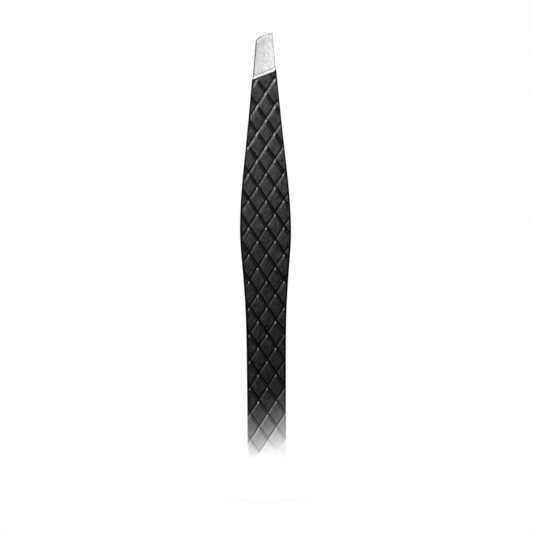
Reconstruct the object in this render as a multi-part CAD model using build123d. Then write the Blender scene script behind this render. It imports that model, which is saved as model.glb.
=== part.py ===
from build123d import *
import math
import os

"""Slant tweezers, open at rest: two stamped stainless blades spot welded at the heel, each with a thin textured
grip skin that wraps its outer face and both long edges and stops short of the bare, ground, slanted tip.

Frame: millimetres. Origin at the centre of the heel's flat end, +Z from the heel to the tips, X across the width,
Y through the thickness. The front blade lies on the -Y side and the rear blade on the +Y side, mirrored in y = 0.
The rear side is modelled, and the front side is its mirror image.

A real blade is one piece that bends behind the finger pads. Here each blade and each skin is parted across that
flexing zone by a round seat about the flex axis, so that a rigid arm can turn on a rigid heel.
"""

# ---- heel and flex axis ----
HEEL_FLAT = 10.0         # length over which the two blades lie flat together
HEEL_CORNER_R = 1.2      # rounded corners of the skinned heel end
FLEX_Z = 24.0            # height of the flex axis
FLEX_Y = 1.07            # distance of the flex axis from y = 0, in the middle of the blade
SEAT_R = 1.30            # round end of each arm about its flex axis
SEAT_GAP = 0.03          # running clearance of that end in the heel

# ---- closing ----
CLOSE_ANGLE = math.radians(3.0)  # turn of each arm from open to tips touching
CLOSE_SLOPE = math.tan(CLOSE_ANGLE)
GRIP_GAP = 0.01          # each gripping face stands this far off y = 0 when closed
GRIP_FROM_Z = 88.2       # start of the flat gripping face

# ---- tip ----
LENGTH = 95.0            # heel end to the high corner of the slanted tip
TIP_SLOPE = math.tan(math.radians(25.0))  # rise of the tip edge towards +X
TIP_CORNER_R = 0.85      # rounded low corner of the tip
TIP_EDGE_T = 0.45        # blade thickness aimed at where the facet nears the tip edge
TIP_EDGE_Z = 94.2        # height at which that thickness is set
GRIND_ANGLE = math.radians(20.5)  # slant of the line where the ground tip facet starts
GRIND_Z = 86.2           # height of that line on the centreline
GRIND_STEP = 0.25        # depth of the shoulder above the facet
GRIND_RAMP = 0.50        # length of that shoulder

# ---- skin ----
SKIN_T = 0.35            # thickness on the outer face
SKIN_SIDE_T = 0.10       # thickness on the long edges
SKIN_LIP = 0.15          # how far the skin's edges stop short of the blade's inner face
SKIN_EDGE_R = 0.28       # rounding of the skin's long outer edges
CORE_OVERCUT = 1.0       # how far the skin's core cut passes the blade's inner face
LONG_EDGE_MIN = 60       # only the edges that run up the arm are longer than this
MIDWAY_Z = 48            # height at which inner and outer long edges are told apart

# ---- spot welds ----
WELD_R = 1.4             # nugget radius
WELD_H = 1.6             # nugget height through both blades
WELD_CHAMFER = 0.35
WELD_Z = (3.6, 7.6)      # heights of the two spot welds

# ---- stock and cutters, larger than the finished shape ----
STOCK_TOP = 97.0         # the curves run on past the tip to this height
STOCK_STEP = 3.0         # rough spacing of points on the width and outer curves
INNER_STEP = 2.4         # rough spacing of points on the inner curve
OUTLINE_REACH = 12       # half depth of the outline prism along Y
SLAB_REACH = 8           # half width of the profile prism along X
CUT_REACH = 9            # how far the tip and grind cutters reach off the middle
KNIFE_TOP = 110          # top of the tip cutter
GRIND_REACH = 40         # half length of the slanted prisms
FACET_FAR = 96.0         # end of the facet cutter along the slanted normal
SKIN_END_FAR = 130       # end of the skin's end cutter along the slanted normal
FLEX_BOX_X, FLEX_BOX_Y = 20, 24
BELOW_H, ABOVE_H = 40, 100  # box heights below and above the flex axis
FLEX_PIN_LENGTH = 30

# half width of the skinned body: (z, half width)
HALF_WIDTH = [
    (0.0, 3.86), (10.0, 3.87), (18.6, 3.885), (24.6, 3.92), (30.0, 3.95), (34.0, 3.995),
    (38.0, 4.10), (41.0, 4.24), (45.0, 4.50), (49.0, 4.83), (52.0, 5.045), (55.0, 5.137),
    (58.0, 5.055), (61.0, 4.895), (65.0, 4.565), (69.0, 4.152), (73.0, 3.725), (77.0, 3.31),
    (81.0, 2.92), (85.2, 2.52), (88.0, 2.26), (91.3, 1.98), (95.0, 1.655), (STOCK_TOP, 1.48),
]
# the blade's outer face when open: (z, distance from y = 0, slope)
OUTER = [
    (0.0, 1.50, 0.0), (12.0, 1.50, 0.002), (24.0, 1.72, 0.058), (38.0, 2.93, 0.100),
    (50.0, 4.19, 0.088), (60.0, 4.94, 0.056), (70.0, 5.33, 0.016), (80.0, 5.30, -0.030),
    (86.0, 5.05, -0.050), (STOCK_TOP, 4.44, -0.060),
]


def grip_line(z):
    """The gripping face when open: the plane that the closing turn brings to GRIP_GAP off y = 0."""
    return FLEX_Y + (GRIP_GAP - FLEX_Y) / math.cos(CLOSE_ANGLE) + (z - FLEX_Z) * CLOSE_SLOPE


# the blade's inner face when open: (z, distance from y = 0, slope)
INNER = [
    (HEEL_FLAT, 0.0, 0.0), (24.0, 0.42, 0.062), (38.0, 1.60, 0.100), (50.0, 2.74, 0.085),
    (60.0, 3.44, 0.053), (70.0, 3.79, 0.015), (80.0, 3.70, -0.036), (86.0, 3.41, -0.055),
    (GRIP_FROM_Z, grip_line(GRIP_FROM_Z), CLOSE_SLOPE),
    (STOCK_TOP, grip_line(STOCK_TOP), CLOSE_SLOPE),
]


# ---- curves ----
def hermite(table, z):
    """Value at z of a table of (z, value, slope), held constant beyond its ends."""
    if z <= table[0][0]:
        return table[0][1]
    for (z0, value0, slope0), (z1, value1, slope1) in zip(table, table[1:]):
        if z <= z1:
            span = z1 - z0
            t = (z - z0) / span
            return (
                (2 * t**3 - 3 * t**2 + 1) * value0
                + (t**3 - 2 * t**2 + t) * span * slope0
                + (3 * t**2 - 2 * t**3) * value1
                + (t**3 - t**2) * span * slope1
            )
    return table[-1][1]


def with_slopes(table):
    """(z, value) rows given slopes from their neighbours, so that hermite() runs smoothly."""
    rows = []
    for i, (z, value) in enumerate(table):
        before = table[max(i - 1, 0)]
        after = table[min(i + 1, len(table) - 1)]
        rows.append((z, value, (after[1] - before[1]) / (after[0] - before[0])))
    return rows


WIDTH = with_slopes(HALF_WIDTH)


def inner(z):
    return hermite(INNER, z)


def outer(z):
    return hermite(OUTER, z)


def stations(start, end, step):
    """Evenly spaced heights, about a step apart."""
    count = round((end - start) / step)
    return [start + (end - start) * i / count for i in range(count + 1)]


# ---- prisms and cutters ----
def outline(inset, tip=True):
    """A wide prism along Y with the outline seen face on, cut at the slanted tip if asked."""
    def half(z):
        return hermite(WIDTH, z) - inset

    heights = stations(0.0, STOCK_TOP, STOCK_STEP)
    right = Spline(*[(half(z), 0, z) for z in heights])
    left = Spline(*[(-half(z), 0, z) for z in heights])
    foot = Line((-half(0), 0, 0), (half(0), 0, 0))
    head = Line((-half(STOCK_TOP), 0, STOCK_TOP), (half(STOCK_TOP), 0, STOCK_TOP))
    face = make_face([foot, right, head, left])
    heel_corners = sorted(face.vertices(), key=lambda p: p.Z)[:2]
    face = face.faces()[0].fillet_2d(HEEL_CORNER_R - inset, heel_corners)
    if tip:
        centre_z = LENGTH - half(LENGTH) * TIP_SLOPE
        rise = CUT_REACH * TIP_SLOPE
        knife = make_face(
            Polyline(
                (-CUT_REACH, 0, centre_z - rise),
                (CUT_REACH, 0, centre_z + rise),
                (CUT_REACH, 0, KNIFE_TOP),
                (-CUT_REACH, 0, KNIFE_TOP),
                close=True,
            )
        )
        face = (face - knife).faces()[0]
        # the tip's low corner is its -X one
        low_corner = sorted((p for p in face.vertices() if p.Z > 90), key=lambda p: p.X)[0]
        face = face.fillet_2d(TIP_CORNER_R, [low_corner])
    return extrude(face, amount=OUTLINE_REACH, dir=(0, 1, 0), both=True)


def slab(low, high):
    """A wide prism along X between two distances from y = 0, given as functions of z."""
    inner_curve = Spline(
        *[(0, low(z), z) for z in stations(HEEL_FLAT, GRIP_FROM_Z, INNER_STEP)],
        tangents=[(0, 0, 1), (0, CLOSE_SLOPE, 1)],
    )
    heel_line = Line((0, low(0), 0), (0, low(HEEL_FLAT), HEEL_FLAT))
    grip = Line((0, low(GRIP_FROM_Z), GRIP_FROM_Z), (0, low(STOCK_TOP), STOCK_TOP))
    outer_curve = Spline(*[(0, high(z), z) for z in stations(0.0, STOCK_TOP, STOCK_STEP)])
    head = Line((0, low(STOCK_TOP), STOCK_TOP), (0, high(STOCK_TOP), STOCK_TOP))
    foot = Line((0, low(0), 0), (0, high(0), 0))
    face = make_face([heel_line, inner_curve, grip, head, outer_curve, foot])
    return extrude(face, amount=SLAB_REACH, dir=(1, 0, 0), both=True)


def slanted_prism(points):
    """A prism running along the grind line, from (distance along the slanted normal, y)."""
    sin, cos = math.sin(GRIND_ANGLE), math.cos(GRIND_ANGLE)
    face = make_face(Polyline(*[(-up * sin, y, up * cos) for up, y in points], close=True))
    return extrude(face, amount=GRIND_REACH, dir=(cos, 0, sin), both=True)


def grind_cutter():
    """Takes the outer face down to the ground tip facet, with its short shoulder."""
    cos = math.cos(GRIND_ANGLE)
    start, start_y = GRIND_Z * cos, outer(GRIND_Z)
    facet, facet_y = start + GRIND_RAMP, start_y - GRIND_STEP
    slope = (inner(TIP_EDGE_Z) + TIP_EDGE_T - facet_y) / (TIP_EDGE_Z * cos - facet)
    return slanted_prism([
        (start, CUT_REACH),
        (start, start_y),
        (facet, facet_y),
        (FACET_FAR, facet_y + slope * (FACET_FAR - facet)),
        (FACET_FAR, CUT_REACH),
    ])


def skin_end_cutter():
    """Takes away the skin above the grind line."""
    start = GRIND_Z * math.cos(GRIND_ANGLE)
    return slanted_prism([
        (start, -CUT_REACH),
        (start, CUT_REACH),
        (SKIN_END_FAR, CUT_REACH),
        (SKIN_END_FAR, -CUT_REACH),
    ])


def flex_cylinder(radius):
    return Pos(0, FLEX_Y, FLEX_Z) * Rot(0, 90, 0) * Cylinder(radius, FLEX_PIN_LENGTH)


def flex_cutters():
    """(what an arm loses, what a heel loses) at the flex axis."""
    below = Pos(0, 0, FLEX_Z - BELOW_H / 2) * Box(FLEX_BOX_X, FLEX_BOX_Y, BELOW_H)
    above = Pos(0, 0, FLEX_Z + ABOVE_H / 2) * Box(FLEX_BOX_X, FLEX_BOX_Y, ABOVE_H)
    return below - flex_cylinder(SEAT_R), above + flex_cylinder(SEAT_R + SEAT_GAP)


def one_solid(shape):
    """The largest solid of a result, which drops slivers."""
    return sorted(shape.solids(), key=lambda s: s.volume)[-1]


# ---- pieces ----
def make_blade():
    """The whole rear blade, heel and arm together."""
    body = outline(SKIN_SIDE_T) & slab(inner, outer)
    return one_solid(one_solid(body) - grind_cutter())


def make_skin():
    """The whole rear skin: a rounded shell less the blade's shape."""
    shell = one_solid(
        outline(0.0, tip=False) & slab(lambda z: inner(z) + SKIN_LIP, lambda z: outer(z) + SKIN_T)
    )
    middle_y = 0.5 * (inner(MIDWAY_Z) + outer(MIDWAY_Z))
    long_edges = [
        e for e in shell.edges() if e.length > LONG_EDGE_MIN and e.center().Y > middle_y
    ]
    # guards the rounding along the curved edges: if it fails, they stay square
    try:
        shell = shell.fillet(SKIN_EDGE_R, long_edges)
    except Exception:
        pass
    core = outline(SKIN_SIDE_T, tip=False) & slab(lambda z: inner(z) - CORE_OVERCUT, outer)
    return one_solid(shell - core - skin_end_cutter())


def make_welds():
    """The two chamfered nuggets, lying along Y through both blades."""
    nugget = Rot(90, 0, 0) * Cylinder(WELD_R, WELD_H)
    nugget = chamfer(nugget.edges().filter_by(GeomType.CIRCLE), WELD_CHAMFER)
    return [Pos(0, 0, z) * nugget for z in WELD_Z]


def make_rear(welds):
    """The rear blade and skin, each parted into an arm and a heel."""
    arm_loses, heel_loses = flex_cutters()
    blade = make_blade()
    skin = make_skin()
    blade_heel = one_solid(blade - heel_loses)
    for weld in welds:
        blade_heel = one_solid(blade_heel - weld)
    return {
        "blade": one_solid(blade - arm_loses),
        "blade_heel": blade_heel,
        "grip_skin": one_solid(skin - arm_loses),
        "grip_skin_heel": one_solid(skin - heel_loses),
    }


welds = make_welds()
nodes = {}
for name, shape in make_rear(welds).items():
    nodes[f"rear_{name}"] = shape
    nodes[f"front_{name}"] = mirror(shape, about=Plane.XZ)
nodes["spot_welds"] = Compound([weld.solids()[0] for weld in welds])

os.makedirs("parts", exist_ok=True)
for name, shape in nodes.items():
    export_step(shape, f"parts/{name}.step")
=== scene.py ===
"""Slant tweezers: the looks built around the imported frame.

Everything is worked out in millimetres in the row's frame (X width, Y thickness, Z from heel to tips) and becomes
metres when a mesh is made. A point of an arm is (x, v, z), where v is the distance from the plane between the blades;
the front arm has y = -v and the rear arm y = +v.
"""

import math

import bmesh
import bpy
import numpy as np
from mathutils import Matrix, Vector
from mathutils.geometry import delaunay_2d_cdt

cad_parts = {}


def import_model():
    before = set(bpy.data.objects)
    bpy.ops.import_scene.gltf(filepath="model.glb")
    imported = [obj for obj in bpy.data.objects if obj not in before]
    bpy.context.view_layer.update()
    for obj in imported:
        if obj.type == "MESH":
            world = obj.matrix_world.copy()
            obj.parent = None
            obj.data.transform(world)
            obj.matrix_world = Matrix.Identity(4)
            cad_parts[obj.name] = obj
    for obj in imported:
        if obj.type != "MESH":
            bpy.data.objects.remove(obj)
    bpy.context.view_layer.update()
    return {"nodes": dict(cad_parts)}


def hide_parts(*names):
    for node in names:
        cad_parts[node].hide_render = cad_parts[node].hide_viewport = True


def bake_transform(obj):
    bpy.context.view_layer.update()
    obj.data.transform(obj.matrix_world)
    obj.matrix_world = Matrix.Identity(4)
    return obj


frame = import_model()

# ---------------------------------------------------------------------------------------------------- shape tables
MM = 0.001
LENGTH = 95.0
SKIN_T, SKIN_SIDE, SKIN_LIP = 0.35, 0.10, 0.15
HEEL_R = 1.2
GRIND_Z, GRIND_A = 86.2, math.radians(20.5)
GRIND_STEP, GRIND_RAMP = 0.25, 0.44
TIP_A, TIP_R, TIP_T = math.radians(25.0), 0.85, 0.45
FLEX_Z, FLEX_V, THETA, GRIP_GAP = 24.0, 1.07, math.radians(3.0), 0.01


def grip_line(z):
    return FLEX_V + (GRIP_GAP - FLEX_V) / math.cos(THETA) + (z - FLEX_Z) * math.tan(THETA)


HALF_WIDTH = [
    (0.0, 3.86), (10.0, 3.87), (18.6, 3.885), (24.6, 3.92), (30.0, 3.95), (34.0, 3.995), (38.0, 4.10), (41.0, 4.24),
    (45.0, 4.50), (49.0, 4.83), (52.0, 5.045), (55.0, 5.137), (58.0, 5.055), (61.0, 4.895), (65.0, 4.565),
    (69.0, 4.152), (73.0, 3.725), (77.0, 3.31), (81.0, 2.92), (85.2, 2.52), (88.0, 2.26), (91.3, 1.98), (95.0, 1.655),
    (97.0, 1.48),
]
OUTER = [
    (0.0, 1.50, 0.0), (12.0, 1.50, 0.002), (24.0, 1.72, 0.058), (38.0, 2.93, 0.100), (50.0, 4.19, 0.088),
    (60.0, 4.94, 0.056), (70.0, 5.33, 0.016), (80.0, 5.30, -0.030), (86.0, 5.05, -0.050), (97.0, 4.44, -0.060),
]
INNER = [
    (10.0, 0.0, 0.0), (24.0, 0.42, 0.062), (38.0, 1.60, 0.100), (50.0, 2.74, 0.085), (60.0, 3.44, 0.053),
    (70.0, 3.79, 0.015), (80.0, 3.70, -0.036), (86.0, 3.41, -0.055),
    (88.2, grip_line(88.2), math.tan(THETA)), (97.0, grip_line(97.0), math.tan(THETA)),
]


def hermite(rows):
    z, v, m = (np.array([r[i] for r in rows], float) for i in range(3))

    def value(x):
        x = np.clip(np.asarray(x, float), z[0], z[-1])
        i = np.clip(np.searchsorted(z, x, side="right") - 1, 0, len(z) - 2)
        h = z[i + 1] - z[i]
        t = (x - z[i]) / h
        return (
            (2 * t**3 - 3 * t**2 + 1) * v[i]
            + (t**3 - 2 * t**2 + t) * h * m[i]
            + (3 * t**2 - 2 * t**3) * v[i + 1]
            + (t**3 - t**2) * h * m[i + 1]
        )

    return value


def with_slopes(rows):
    out = []
    for i, (z, v) in enumerate(rows):
        a, b = rows[max(i - 1, 0)], rows[min(i + 1, len(rows) - 1)]
        out.append((z, v, (b[1] - a[1]) / (b[0] - a[0])))
    return out


half_width = hermite(with_slopes([(z, v + 0.04) for z, v in HALF_WIDTH]))
outer = hermite(OUTER)
inner = hermite(INNER)
# how far the end of the skin strays from the straight slanted line, against x over the half width
end_stray = hermite(with_slopes([(-1.0, 0.05), (-0.75, -0.02), (-0.4, 0.04), (0.0, 0.01), (0.35, 0.01), (0.8, 0.06), (1.0, 0.34)]))


# how far the tip edge bows up from its straight slanted line, against x
tip_bow = hermite(with_slopes([
    (-1.70, 0.0), (-1.45, 0.10), (-1.0, 0.33), (-0.55, 0.43), (0.06, 0.41), (0.5, 0.34), (0.9, 0.23), (1.3, 0.10), (1.6, -0.01),
    (1.75, -0.07),
]))


def smooth(t):
    t = np.clip(t, 0.0, 1.0)
    return t * t * (3 - 2 * t)


def grind_z(x):
    """Height of the end of the skin at x."""
    h = half_width(GRIND_Z + x * math.tan(GRIND_A))
    return GRIND_Z + x * math.tan(GRIND_A) + end_stray(x / h)


# ------------------------------------------------------------------------------------------------------ mesh helper
def make_mesh(name, verts_mm, faces, side, smooth_angle=None, attributes=None):
    """verts are (x, v, z) in mm; side is -1 for the front arm and +1 for the rear one."""
    co = np.asarray(verts_mm, float) * MM
    co = np.column_stack([co[:, 0], side * co[:, 1], co[:, 2]])
    mesh = bpy.data.meshes.new(name)
    mesh.from_pydata(co.tolist(), [], [tuple(int(i) for i in f) for f in faces])
    # the rest position rides along, so that the pattern stays on the material when the arm bends
    rest = mesh.attributes.new("rest", "FLOAT_VECTOR", "POINT")
    rest.data.foreach_set("vector", co.astype(np.float32).ravel())
    for key, values in (attributes or {}).items():
        a = mesh.attributes.new(key, "FLOAT", "POINT")
        a.data.foreach_set("value", np.asarray(values, np.float32))
    bm = bmesh.new()
    bm.from_mesh(mesh)
    bmesh.ops.recalc_face_normals(bm, faces=bm.faces)
    if bm.calc_volume(signed=True) < 0:
        bmesh.ops.reverse_faces(bm, faces=bm.faces)
    bm.to_mesh(mesh)
    bm.free()
    mesh.shade_smooth()
    if smooth_angle is not None:
        mesh.set_sharp_from_angle(angle=math.radians(smooth_angle))
    mesh.update()
    obj = bpy.data.objects.new(name, mesh)
    bpy.context.scene.collection.objects.link(obj)
    return obj


# ------------------------------------------------------------------------------------------------------------ blade
SIN_G, COS_G = math.sin(GRIND_A), math.cos(GRIND_A)
U0 = GRIND_Z * COS_G
V0 = float(outer(GRIND_Z))
UA, VA = U0 + GRIND_RAMP, V0 - GRIND_STEP
U1, V1 = 94.2 * COS_G, float(inner(94.2)) + TIP_T
FACET_SLOPE = (V1 - VA) / (U1 - UA)
HOLLOW_U, HOLLOW_X = 0.05, 0.04      # how far the ground facet is hollowed along and across


# painted light along the tip edge, against x: how pale the dressed band is painted (a painted highlight) and how pale
# the edge's bevel is painted (a painted shade line, paler at the left corner)
BAND_PAINTED_LIGHT = hermite(with_slopes([
    (-1.62, 0.78), (-1.45, 0.60), (-1.3, 0.36), (-0.7, 0.40), (-0.3, 0.52), (0.5, 0.57), (0.9, 0.50), (1.3, 0.42), (1.6, 0.42),
]))
BEVEL_PAINTED_LIGHT = hermite(with_slopes([
    (-1.62, 0.85), (-1.45, 0.75), (-1.3, 0.58), (-1.0, 0.39), (-0.6, 0.25), (0.0, 0.18), (0.4, 0.18), (0.8, 0.25), (1.2, 0.29), (1.6, 0.42),
]))


def blade_half(z):
    return half_width(z) - SKIN_SIDE


def blade_outer(x, z):
    """The blade's outer face with its ground tip facet and the short shoulder above it."""
    u = z * COS_G - x * SIN_G
    past = (z - grind_z(x)) * COS_G
    shoulder = outer(z) - GRIND_STEP * past / GRIND_RAMP
    along = np.clip((u - UA) / (U1 - UA), 0, 1.1)
    facet = VA + FACET_SLOPE * (u - UA) - 4 * HOLLOW_U * along * (1 - along)
    k = 0.05
    d = np.abs(shoulder - facet)
    concave = np.maximum(shoulder, facet) + np.maximum(k - d, 0) ** 2 / (4 * k)
    # the wheel leaves a faint line in the corner
    line = 0.03 * np.exp(-(((past - 0.62) / 0.10) ** 2))
    return np.minimum(outer(z), concave) - line


def blade_mesh(name, side):
    slant_tip = math.tan(TIP_A)
    tip_c = LENGTH - float(blade_half(LENGTH)) * slant_tip      # tip edge height on the centreline
    # stations: height on the centreline, tangent of the slant, share of the skin end's stray, share of the tip's bow
    rows = []
    for z in [0.0, 0.012, 0.04, 0.08, 0.13, 0.25, 0.42, 0.62, 0.85, 1.1, 1.4]:
        rows.append((z, 0.0, 0.0, 0.0))
    for z in np.arange(2.0, 70.0, 0.8):
        rows.append((float(z), 0.0, 0.0, 0.0))
    for z in np.arange(70.0, 84.5, 0.6):
        rows.append((float(z), math.tan(GRIND_A) * float(smooth((z - 70) / 14.5)), 0.0, 0.0))
    for z in np.linspace(84.7, 86.2, 6):
        rows.append((float(z), math.tan(GRIND_A), float(smooth((z - 84.5) / 1.7)), 0.0))
    for d in [0.04, 0.1, 0.18, 0.28, 0.38, 0.44, 0.48, 0.52, 0.56, 0.62, 0.72, 0.9, 1.15, 1.5]:
        rows.append((86.2 + d / COS_G, math.tan(GRIND_A), 1.0 - float(smooth((d - 0.6) / 1.6)), 0.0))
    start = rows[-1][0]
    for z in np.arange(start + 0.35, tip_c - 1.05, 0.3):
        w = (z - start) / (tip_c - 1.05 - start)
        share = float(smooth(w))
        rows.append((float(z), math.tan(GRIND_A) + (slant_tip - math.tan(GRIND_A)) * share, 0.0, share))
    cos_t = math.cos(TIP_A)
    for d in [0.86, 0.80, 0.74, 0.68, 0.58, 0.48, 0.38, 0.37, 0.36, 0.28, 0.18, 0.09, 0.035, 0.02, 0.008, 0.0]:
        rows.append((tip_c - d / cos_t, slant_tip, 0.0, 1.0))

    # the rounded low corner of the tip: a circle tangent to the tip edge and the left side
    zl = 94.0
    for _ in range(60):
        xl = -float(blade_half(zl))
        zl = tip_c + xl * slant_tip
    m = (float(blade_half(zl)) - float(blade_half(zl - 0.6))) / 0.6
    down = np.array([m, -1.0]) / math.hypot(m, 1.0)
    along = np.array([math.cos(TIP_A), math.sin(TIP_A)])
    corner = np.array([xl, zl])
    half = math.acos(float(down @ along)) / 2
    bis = (down + along) / np.linalg.norm(down + along)
    centre = corner + bis * (TIP_R / math.sin(half))
    t_c = float((centre - corner) @ along)

    n_face, arc_o, arc_i = 22, 5, 3
    rings = []
    for zc, tan_s, stray, bow in rows:
        def z_at(x):
            h = half_width(GRIND_Z + x * math.tan(GRIND_A))
            return zc + x * tan_s + stray * end_stray(x / h) + bow * tip_bow(x)

        if zc < HEEL_R - SKIN_SIDE:
            r = HEEL_R - SKIN_SIDE
            xr = float(blade_half(0)) - r + math.sqrt(max(0.0, r * r - (r - zc) ** 2))
            xl_, xr_ = -xr, xr
        else:
            xl_, xr_ = -3.0, 3.0
            for _ in range(60):
                xl_ = -float(blade_half(z_at(xl_)))
                xr_ = float(blade_half(z_at(xr_)))
            if tan_s == slant_tip:
                d = (tip_c - zc) * cos_t
                if d < TIP_R * (1 - math.cos(math.pi - 2 * half)):
                    t = t_c - math.sqrt(max(0.0, TIP_R**2 - (TIP_R - d) ** 2))
                    # along the station, measured from the foot of the corner
                    foot = corner + t * along + d * np.array([math.sin(TIP_A), -math.cos(TIP_A)])
                    xl_ = float(foot[0])
        # rounding of the two ends
        shrink = 0.0
        if zc < 0.13:
            r = 0.13
            shrink = r - math.sqrt(max(0.0, r * r - (r - zc) ** 2))
        d = (tip_c - zc) * cos_t
        drop = 0.0
        if tan_s == slant_tip:
            if d < 0.02:
                r = 0.02
                shrink = r - math.sqrt(max(0.0, r * r - (r - d) ** 2))
            # a shallow dressed band, then the short bevel of the tip edge
            drop = 0.058 * float(np.clip((0.77 - d) / 0.40, 0, 1)) + max(0.0, 0.37 - d) * 0.62
        xl_, xr_ = xl_ + shrink * 0.6, xr_ - shrink * 0.6
        bare = float(smooth((zc - 85.2) / 1.2))
        rl, rr = 0.12 + 0.15 * bare, 0.12 - 0.03 * bare
        ri = 0.09 - 0.045 * bare
        ring = []
        xs = np.linspace(xl_ + rl, xr_ - rr, n_face + 1)
        zs = np.array([z_at(x) for x in xs])
        vo = blade_outer(xs, zs) - shrink - drop
        # outer face, left to right, hollow where it is ground
        q = (xs - xs.mean()) / max(1e-6, (xs[-1] - xs[0]) / 2)
        for x, v, z, c in zip(xs, vo, zs, q):
            ring.append((x, v - HOLLOW_X * bare * (1 - c * c), z))
        base = ring[-1]

        def edge(k, r, limit):
            """The k-th point of an outer long edge: a round under the skin, a flat bevel where the steel is bare."""
            a = math.pi / 2 * k / arc_o
            bevel = min(1.2 * r, limit)
            return (
                r * ((1 - bare) * math.sin(a) + bare * k / arc_o),
                (1 - bare) * r * (1 - math.cos(a)) + bare * bevel * k / arc_o,
            )

        for k in range(1, arc_o + 1):
            dx, dv = edge(k, rr, 0.55 * (base[1] - float(inner(base[2]))))
            x = xr_ - rr + dx
            ring.append((x, base[1] - dv, float(z_at(x))))
        zr = float(z_at(xr_))
        v_in = float(inner(zr)) + shrink
        ring.append((xr_, 0.5 * (ring[-1][1] + v_in + ri), zr))
        for k in range(arc_i + 1):
            a = math.pi / 2 * k / arc_i
            x = xr_ - ri * (1 - math.cos(a))
            ring.append((x, v_in + ri * (1 - math.sin(a)), float(z_at(x))))
        xin = np.linspace(xr_ - ri, xl_ + ri, n_face + 1)[1:-1]
        zin = np.array([z_at(x) for x in xin])
        for x, v, z in zip(xin, inner(zin) + shrink, zin):
            ring.append((x, v, z))
        zl_ = float(z_at(xl_))
        v_in = float(inner(zl_)) + shrink
        for k in range(arc_i, -1, -1):
            a = math.pi / 2 * k / arc_i
            x = xl_ + ri * (1 - math.cos(a))
            ring.append((x, v_in + ri * (1 - math.sin(a)), float(z_at(x))))
        limit = 0.55 * (ring[0][1] - float(inner(ring[0][2])))
        ring.append((xl_, 0.5 * (ring[0][1] - edge(arc_o, rl, limit)[1] + v_in + ri), zl_))
        for k in range(arc_o, 0, -1):
            dx, dv = edge(k, rl, limit)
            x = xl_ + rl - dx
            ring.append((x, ring[0][1] - dv, float(z_at(x))))
        rings.append(ring)
    n = len(rings[0])
    verts = [p for ring in rings for p in ring]
    faces = []
    for i in range(len(rings) - 1):
        for j in range(n):
            a, b = i * n + j, i * n + (j + 1) % n
            faces.append((a, b, b + n, a + n))
    faces.append(tuple(range(n)))
    faces.append(tuple((len(rings) - 1) * n + j for j in range(n)))
    # past the end of the skin the shoulder keeps the white coat; a dull line where the grinding stopped is painted
    # shade in the concave corner
    x, v, z = (np.array([p[i] for p in verts]) for i in range(3))
    past = (z - grind_z(x)) * COS_G
    on_outer = v > 0.5 * (blade_outer(x, z) + inner(z))
    coat = on_outer * (1 - smooth((past - 0.40) / 0.04)) * (past > -2.5)
    line = on_outer * np.exp(-(((past - 0.58) / 0.13) ** 2))
    # painted shade: a darker strip at the foot of the skin's end, where the step shades the shoulder
    lip = on_outer * np.exp(-(((past - 0.02) / 0.09) ** 2))
    # the dressed band along the tip edge, and the edge's own bevel, with their painted highlight and painted shade
    d = (tip_c + x * slant_tip + tip_bow(x) - z) * cos_t
    band = on_outer * smooth((d - 0.36) / 0.02) * (1 - smooth((d - 0.72) / 0.06))
    bevel = on_outer * (1 - smooth((d - 0.35) / 0.03))
    band_painted_light = BAND_PAINTED_LIGHT(x) * (1 - 0.30 * (1 - smooth((d - 0.46) / 0.10)))
    bevel_painted_light = BEVEL_PAINTED_LIGHT(x)
    return make_mesh(
        name, verts, faces, side, smooth_angle=24,
        attributes={"coat": coat, "line": line, "lip": lip, "band": band, "bevel": bevel,
                    "band_painted_light": band_painted_light, "bevel_painted_light": bevel_painted_light},
    )


# ------------------------------------------------------------------------------------------------------- grip skin
ALPHA = math.atan2(5.42 / 2, 3.555 / 2)
CELL = math.hypot(3.555 / 2, 5.42 / 2)      # side of a diamond tile
CROSS_X, CROSS_Z = 0.24, 82.94               # a groove crossing near the centreline
SKEW = math.sin(2 * (math.pi / 2 - ALPHA))   # distance from a side over the step along the other side


def to_lattice(x, z):
    a, b = (x - CROSS_X) / math.cos(ALPHA), (z - CROSS_Z) / math.sin(ALPHA)
    return (b + a) / 2 / CELL, (b - a) / 2 / CELL


def from_lattice(s, t):
    return CROSS_X + (s - t) * CELL * math.cos(ALPHA), CROSS_Z + (s + t) * CELL * math.sin(ALPHA)


def ramp(t, k0, k1):
    """0 to 1 with rounded foot (k0) and crest (k1)."""
    t = np.clip(t, 0.0, 1.0)
    m = 1.0 / (1 - k0 / 2 - k1 / 2)
    low = m * t * t / (2 * k0)
    mid = m * (t - k0 / 2)
    high = 1 - m * (1 - t) ** 2 / (2 * k1)
    return np.where(t < k0, low, np.where(t > 1 - k1, high, mid))


def bevel_width(z):
    """Width of the upper left bevels of the tiles, wider towards the tips."""
    return 0.48 + 0.12 * smooth((z - 36) / 16) + 0.06 * smooth((z - 60) / 16)


def back_width(z):
    """Width of the upper right bevels."""
    return 0.48 + 0.14 * smooth((z - 58) / 16)


RELIEF = 0.15
WALL = 0.17
RIDGE = 0.62                     # share of the relief that the ridges keep where they cross a groove
FADE_LEAN = 0.52                 # how far the fade towards the heel leans across the width


def relief_share(x, z):
    """1 where the tiles have their full relief, less by the end at the tips, 0 on the plain heel."""
    by_end = 1 - smooth(((grind_z(x) - z) * COS_G - 0.2) / 1.3)
    return smooth((z - FADE_LEAN * x - 8.0) / 9.5) * (1 - 0.65 * by_end)


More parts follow.
